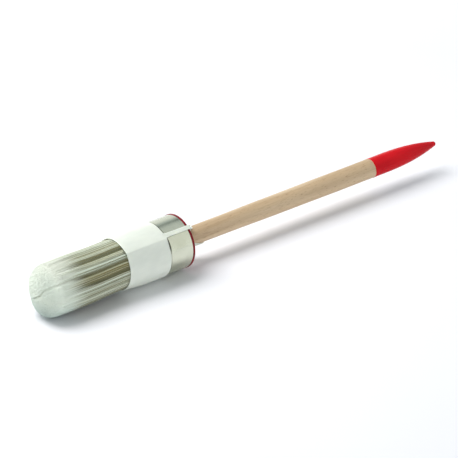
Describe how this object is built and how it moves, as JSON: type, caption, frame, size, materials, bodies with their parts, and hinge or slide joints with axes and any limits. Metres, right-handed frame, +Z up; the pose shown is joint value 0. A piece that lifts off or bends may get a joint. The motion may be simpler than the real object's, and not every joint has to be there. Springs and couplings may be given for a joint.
{
  "type": "round paint brush",
  "caption": "Round paint brush with a domed mixed bristle bundle, plated capsule ferrule, sliding white bristle collar, slim beech handle and red dipped end.",
  "frame": {"origin": "centre of the bounding box's base: on the surface that the brush lies on, under the middle of its length", "axes": "+X along the brush from the bristles to the handle's end, +Z up, the brush lying on its side"},
  "size_m": [0.2872, 0.0316, 0.0316],
  "materials": {
    "beech": "satin",
    "red_lacquer": "gloss",
    "tin_plate": "polished",
    "red_cap": "gloss",
    "core_wood": "matte",
    "resin": "satin",
    "mixed_bristle": "matte",
    "white_polythene": "satin"
  },
  "bodies": {
    "brush": {"beech_handle": "beech", "red_dipped_end": "red_lacquer", "ferrule": "tin_plate", "ferrule_end_cap": "red_cap", "core_plug": "core_wood", "epoxy_set": "resin", "bristle_bundle": "mixed_bristle"},
    "collar": {"bristle_collar": "white_polythene"}
  },
  "joints": [
    {"name": "collar_slide", "type": "slide", "parent": "brush", "child": "collar", "axis": [1, 0, 0], "range_m": [0, 0.007]}
  ]
}
